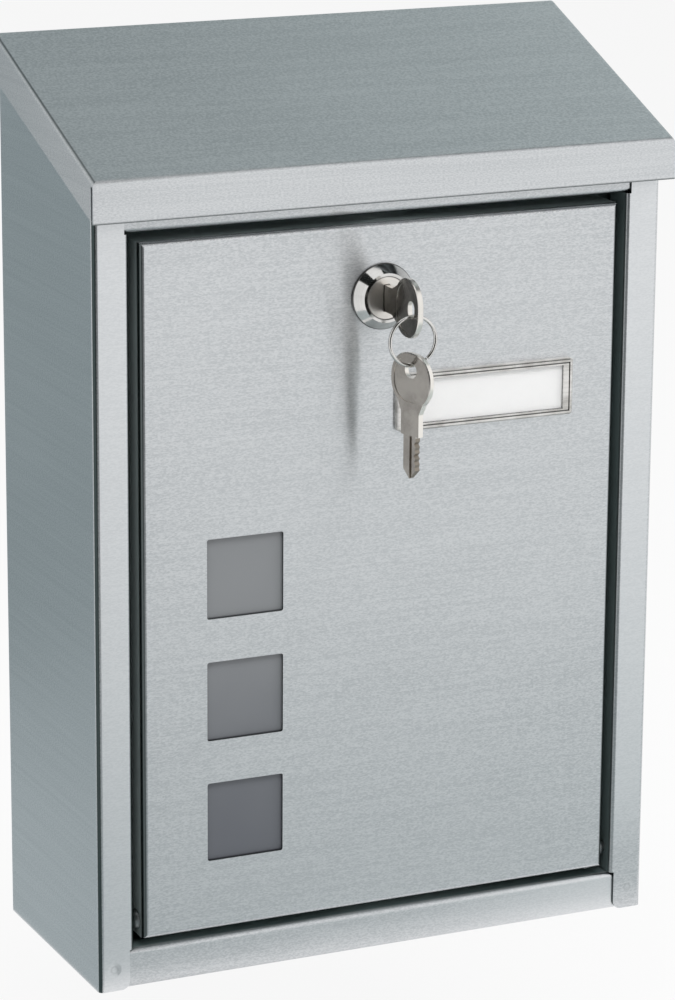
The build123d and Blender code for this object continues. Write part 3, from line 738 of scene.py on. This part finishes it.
def smoked_acrylic():
    material, tree = start("smoked acrylic")
    z = where(tree)[2]
    low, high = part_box("window_pane")
    height = (z - low.z) / (high.z - low.z)
    speck = even_noise(tree, PANE_SPECK, seed=1.0)
    haze = grained_noise(tree, PANE_HAZE, seed=4.0)
    tone = ramp(tree, height + (haze - 0.5) * PANE_HAZE_SHIFT, *PANE_TONES)
    # The grey holds the dark box behind it as painted shade, paler towards the top.
    colour = between(tree, tone, PANE_DARK, PANE_LIGHT)
    # A painted shadow along the lower edge of each window.
    for foot in WINDOW_FEET:
        colour = between(tree, near(tree, z, foot, WINDOW_SHADOW_LINE) * SHADOW_LINE_DARK, colour, SHADOW_LINE_COLOUR)
    close(tree, shaded(tree, {
        "Base Color": colour,
        "Roughness": PANE_ROUGH + (speck - 0.5) * PANE_UNEVEN,
        "IOR": CLEAR_PLASTIC_IOR,
        "Normal": bumped(tree, speck, *PANE_BUMP),
    }))
    return material


dress("window_pane", smoked_acrylic())

# %% [markdown]
# Black foam tape holds the strip to the door. It is seen only with the door open, but then from close by,
# so it gets its open cells: one fine noise that sets colour, roughness and a deep bump together, and the
# hollows of the cells are darker with painted shade.

# %% Foam tape
FOAM_CELLS = 2200.0
FOAM_HOLLOW_SHADE = (0.012, 0.012, 0.013)
FOAM_SKIN = (0.05, 0.05, 0.052)
FOAM_ROUGH = 0.85
FOAM_UNEVEN = 0.2
FOAM_BUMP = (0.4, 0.0002)


def foam():
    material, tree = start("black foam tape")
    cells = even_noise(tree, FOAM_CELLS, rough=0.6, seed=2.0)
    # The hollows of the cells are darker: painted shade.
    close(tree, shaded(tree, {
        "Base Color": between(tree, cells, FOAM_HOLLOW_SHADE, FOAM_SKIN),
        "Roughness": FOAM_ROUGH + (cells - 0.5) * FOAM_UNEVEN,
        "Normal": bumped(tree, cells, *FOAM_BUMP),
    }))
    return material


dress("window_tape", foam())

# %% [markdown]
# The name holder is a clear moulded frame. Clear plastic this thick mirrors inside its own bevels, so its
# rim looks like bright and dark metal more than like a window. Light that must bend through real glass
# would need far more samples, so the rim is given that gloss directly, and its sunken inner step is
# darkened with painted shade.

# %% Name holder
HOLDER_LIGHT = (0.74, 0.73, 0.71)
HOLDER_GREY = (0.46, 0.45, 0.43)
HOLDER_SUNK_SHADE = (0.09, 0.095, 0.095)
HOLDER_RIM = (0.0009, 0.0012)
HOLDER_STEP = (0.0002, 0.0006)
HOLDER_WAVE = 160.0
HOLDER_FLOW = (60.0, 400.0, 900.0)
HOLDER_ROUGH = 0.1
HOLDER_UNEVEN = 0.12
HOLDER_BUMP = (0.25, 0.0003)
WAVE_SHARE = 0.6
SUNK_SHADE = 0.8
MIRRORING = 0.8
MIRRORING_LOST = 0.7


def clear_rim():
    material, tree = start("clear holder plastic")
    x, y, z = where(tree)
    low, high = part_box("name_holder")
    wave = even_noise(tree, HOLDER_WAVE, seed=1.0)
    flow = grained_noise(tree, HOLDER_FLOW, seed=3.0)
    tone = ramp(tree, wave * WAVE_SHARE + flow * (1 - WAVE_SHARE), *MOTTLE)
    rim = between(tree, tone, HOLDER_GREY, HOLDER_LIGHT)
    to_end = (x - low.x).least(high.x - x)
    to_edge = (z - low.z).least(high.z - z)
    inside = ramp(tree, to_end.least(to_edge), *HOLDER_RIM)
    # The sunken inner step gets painted shade.
    deep = ramp(tree, y, *[low.y + depth for depth in HOLDER_STEP])
    close(tree, shaded(tree, {
        "Base Color": between(tree, deep * inside * SUNK_SHADE, rim, HOLDER_SUNK_SHADE),
        "Metallic": MIRRORING - deep * (1 - inside) * MIRRORING_LOST,
        "Roughness": HOLDER_ROUGH + wave * HOLDER_UNEVEN,
        "IOR": CLEAR_PLASTIC_IOR,
        "Normal": bumped(tree, wave, *HOLDER_BUMP),
    }))
    return material


holder_plastic = clear_rim()
dress("name_holder", holder_plastic)
dress("name_clips", holder_plastic)

# %% [markdown]
# A thin clear sheet covers the holder, and a blank white card lies behind it. The sheet is mostly
# see-through by its alpha, which lets the card show at no cost in samples, and a slow wave bends its
# gloss as thin plastic does. The card is paper: fibres that run level, hardly any shine.

# %% Cover and card
COVER_CLEAR = (0.86, 0.87, 0.87)
COVER_PALE = (0.92, 0.92, 0.92)
COVER_WAVE = (90.0, 90.0, 120.0)
COVER_ROUGH = 0.05
COVER_UNEVEN = 0.05
COVER_ALPHA = 0.05
COVER_HAZE = 0.08
COVER_BUMP = (0.1, 0.0002)
CARD_WHITE = (0.95, 0.95, 0.945)
CARD_SHADE = (0.89, 0.89, 0.885)
CARD_FIBRE = (900.0, 900.0, 2400.0)
CARD_ROUGH = 0.6
CARD_UNEVEN = 0.2
CARD_BUMP = (0.15, 0.00005)


def clear_front():
    material, tree = start("clear cover sheet")
    wave = grained_noise(tree, COVER_WAVE, seed=7.0)
    close(tree, shaded(tree, {
        "Base Color": between(tree, wave, COVER_CLEAR, COVER_PALE),
        "Roughness": COVER_ROUGH + wave * COVER_UNEVEN,
        "IOR": CLEAR_PLASTIC_IOR,
        "Alpha": COVER_ALPHA + wave * COVER_HAZE,
        "Normal": bumped(tree, wave, *COVER_BUMP),
    }))
    return material


def paper_card():
    material, tree = start("white card")
    fibre = grained_noise(tree, CARD_FIBRE, *SPECK_DETAIL, seed=3.0)
    close(tree, shaded(tree, {
        "Base Color": between(tree, fibre, CARD_SHADE, CARD_WHITE),
        "Roughness": CARD_ROUGH + (fibre - 0.5) * CARD_UNEVEN,
        "Normal": bumped(tree, fibre, *CARD_BUMP),
    }))
    return material


dress("name_cover", clear_front())
dress("name_card", paper_card())

# %% [markdown]
# The mailbox hangs a hand above a plain pale floor, so that its door has room to swing down. The floor is
# nearly white for every ray that a viewer could follow, straight or by way of a mirror, and plain grey
# paper for the rest. More lamps could make it white too, but they would burn out the steel.

# %% Floor
FLOOR_DROP = 0.1
FLOOR_REACH = 40.0
FLOOR_WHITE = 0.85
FLOOR_PALE = (0.83, 0.83, 0.83)
FLOOR_GREY = (0.80, 0.80, 0.80)
FLOOR_GRAIN = 60.0
FLOOR_ROUGH = 0.9
WHITE = (1, 1, 1, 1)
SQUARE = ((-1, -1), (1, -1), (1, 1), (-1, 1))


def looked_at(tree):
    """1 for the rays of the camera, of mirrors and of clear things."""
    rays = Wire.of(tree, "ShaderNodeLightPath").socket.node.outputs
    seen = Wire(tree, rays["Is Camera Ray"])
    for name in ("Is Glossy Ray", "Is Transmission Ray"):
        seen = seen.most(Wire(tree, rays[name]))
    return seen


def pale_floor():
    material, tree = start("pale floor")
    plain = shaded(tree, {
        "Base Color": between(tree, even_noise(tree, FLOOR_GRAIN, seed=1.0), FLOOR_GREY, FLOOR_PALE),
        "Roughness": FLOOR_ROUGH,
        "Specular IOR Level": 0.0,
    })
    close(tree, mixed(tree, looked_at(tree) * FLOOR_WHITE, plain, glowing(tree, WHITE)))
    return material


floor_level = cad_low.z - FLOOR_DROP
floor_corners = [(a * FLOOR_REACH, b * FLOOR_REACH, floor_level) for a, b in SQUARE]
floor_mesh = bpy.data.meshes.new("floor")
floor_mesh.from_pydata(floor_corners, [], [(0, 1, 2, 3)])
floor_mesh.materials.append(pale_floor())
floor = bpy.data.objects.new("floor", floor_mesh)
scene.collection.objects.link(floor)
print("floor at", round(floor_level, 4))

# %% [markdown]
# Brushed metal has no colour of its own to speak of: it shows its surroundings, so the surroundings are
# the work here. The room is a white studio. Walls could be built, but a plain background is as white from
# every side. It is full white to look at, straight or in a mirror, and only the light it gives to dull
# surfaces is held back.

# %% White room
ROOM_LIGHT = 0.55


def white_room():
    world = bpy.data.worlds.new("white room")
    world.use_nodes = True
    tree = world.node_tree
    tree.nodes.clear()
    level = ROOM_LIGHT + looked_at(tree) * (1 - ROOM_LIGHT)
    room = Wire.of(tree, "ShaderNodeBackground", None, {"Color": WHITE, "Strength": level})
    output = tree.nodes.new("ShaderNodeOutputWorld")
    tree.links.new(room.socket, output.inputs[0])
    scene.world = world


white_room()
scene.view_settings.view_transform = "Standard"
print("room gives", ROOM_LIGHT, "to dull surfaces")

# %% [markdown]
# Two soft boxes, one above and one at the right, light whatever is dull: the card, the pane, the tape and
# the floor. Steel would mirror them as burnt white patches, so mirrors show the white room and not the
# lamps.

# %% Soft boxes
def soft_box(name, place, size, power):
    light = bpy.data.lights.new(name, "AREA")
    light.shape = "RECTANGLE"
    light.size, light.size_y = size
    light.energy = power
    lamp = bpy.data.objects.new(name, light)
    lamp.location = place
    lamp.rotation_mode = "QUATERNION"
    lamp.rotation_quaternion = (-Vector(place)).to_track_quat("-Z", "Y")
    lamp.visible_camera = False
    lamp.visible_glossy = False
    scene.collection.objects.link(lamp)
    print(name, "at", place, power, "W")


soft_box("top soft box", place=(-0.25, -1.15, 1.9), size=(1.2, 0.9), power=24.0)
soft_box("right soft box", place=(1.7, -0.7, 1.1), size=(1.0, 1.0), power=16.0)

# %% [markdown]
# Bright metal needs something darker to mirror, or it looks like plaster, so in a studio cards stand just
# out of the picture. Their papers come first: black, greys and a pale one. A paper could be lit by the
# lamps, but then each lamp would change what the steel shows, so it glows faintly with its own tone, from
# dark at the left to pale at the right.

# %% Papers of the cards
NAP = 40.0
NAP_SHIFT = 0.1


def card_paper(name, dark, pale, left=-1.0, right=1.0):
    """Paper that goes from dark at the left to pale at the right, with a little nap."""
    material, tree = start(name)
    shift = (even_noise(tree, NAP, seed=1.0) - 0.5) * NAP_SHIFT
    tone = ramp(tree, where(tree)[0] + shift, left, right)
    close(tree, glowing(tree, between(tree, tone, dark, pale)))
    return material


black_paper = card_paper("black paper", (0.015, 0.017, 0.017), (0.03, 0.033, 0.033))
grey_paper = card_paper("grey paper", (0.31, 0.365, 0.38), (0.36, 0.41, 0.42))
floor_paper = card_paper("floor paper", (0.455, 0.51, 0.52), (0.62, 0.68, 0.685), -0.1, 0.4)
mid_paper = card_paper("mid paper", (0.50, 0.555, 0.57), (0.52, 0.575, 0.59))
pale_paper = card_paper("pale paper", (0.29, 0.332, 0.337), (0.585, 0.652, 0.657), -0.05, 0.85)
print("five papers cut")

# %% [markdown]
# Only mirrors see the cards: they are hidden from the camera and from dull surfaces, and they cast no
# shadow. The standing ones are bent round the box, because a flat card would leave one end of a long bend
# without its line. A black one at the front gives the front bends, the keys and the lock their dark
# lines, and a grey one at the left behind tones the side.

# %% Standing cards
CARD_STEPS = 16
FLAG_NEAR = 0.62
FLAG_TURN = (-47, 5)
FLAG_TOP = 0.75
SIDE_NEAR = 0.3
SIDE_TURN = (-182, -112)
SIDE_TOP = 0.6


def stand_card(name, points, faces, material):
    mesh = bpy.data.meshes.new(name)
    mesh.from_pydata(points, [], faces)
    mesh.materials.append(material)
    card = bpy.data.objects.new(name, mesh)
    scene.collection.objects.link(card)
    card.visible_camera = False
    card.visible_diffuse = False
    card.visible_shadow = False
    print(name, "stands with", len(faces), "faces")


def bent_card(name, reach, turns, top, material):
    """A standing card bent round the box, between two turns in degrees from straight ahead."""
    first, last = [math.radians(turn) for turn in turns]
    steps = [first + (last - first) * step / CARD_STEPS for step in range(CARD_STEPS + 1)]
    feet = [(math.sin(turn) * reach, -math.cos(turn) * reach) for turn in steps]
    points = [(px, py, level) for level in (cad_low.z, top) for px, py in feet]
    count = len(feet)
    faces = [(i, i + 1, count + i + 1, count + i) for i in range(CARD_STEPS)]
    stand_card(name, points, faces, material)


bent_card("black card", FLAG_NEAR, FLAG_TURN, FLAG_TOP, black_paper)
bent_card("grey card", SIDE_NEAR, SIDE_TURN, SIDE_TOP, grey_paper)

# %% [markdown]
# Overhead hang three square cards that face the box: two small black ones for the lock's chrome and a
# large pale one behind the box, which the sloped roof mirrors. The place of each gives its turn as well,
# so nothing has to be turned by hand.

# %% Hanging cards
HIGH_FLAG = Vector((-0.62, -0.35, 0.80))
HIGH_FLAG_HALF = 0.22
TOP_FLAG = Vector((0.42, -0.22, 0.95))
TOP_FLAG_HALF = 0.2
ROOF_CARD = Vector((0.40, 0.47, 0.78))
ROOF_CARD_HALF = 0.85


def facing_card(name, place, half, material):
    """A square card whose middle is at a place and which faces the box."""
    out = place.normalized()
    side = out.cross(UPWARDS).normalized()
    rise = side.cross(out)
    corners = [place + (side * a + rise * b) * half for a, b in SQUARE]
    stand_card(name, corners, [(0, 1, 2, 3)], material)


facing_card("high black card", HIGH_FLAG, HIGH_FLAG_HALF, black_paper)
facing_card("top black card", TOP_FLAG, TOP_FLAG_HALF, black_paper)
facing_card("roof card", ROOF_CARD, ROOF_CARD_HALF, pale_paper)

# %% [markdown]
# The steel spreads what it mirrors up and down, so the lower half of the front and of the left side also
# shows what lies below. Two level cards at the height of the box's foot, one in front and one at the
# left, darken the faces towards the foot. A darker floor would do the same, but it would show in the
# picture.

# %% Floor cards
FRONT_MAT = (-0.2, -0.38, 0.55, -0.098)
LEFT_MAT = (-0.45, -0.15, -0.1055, 0.35)


def floor_card(name, mat, material):
    """A level card between two corners, at the height of the box's foot."""
    x0, y0, x1, y1 = mat
    corners = [(px, py, cad_low.z) for px, py in ((x0, y0), (x1, y0), (x1, y1), (x0, y1))]
    stand_card(name, corners, [(0, 1, 2, 3)], material)


floor_card("front floor card", FRONT_MAT, floor_paper)
floor_card("left floor card", LEFT_MAT, mid_paper)

# %% Finish
print("scene dressed")
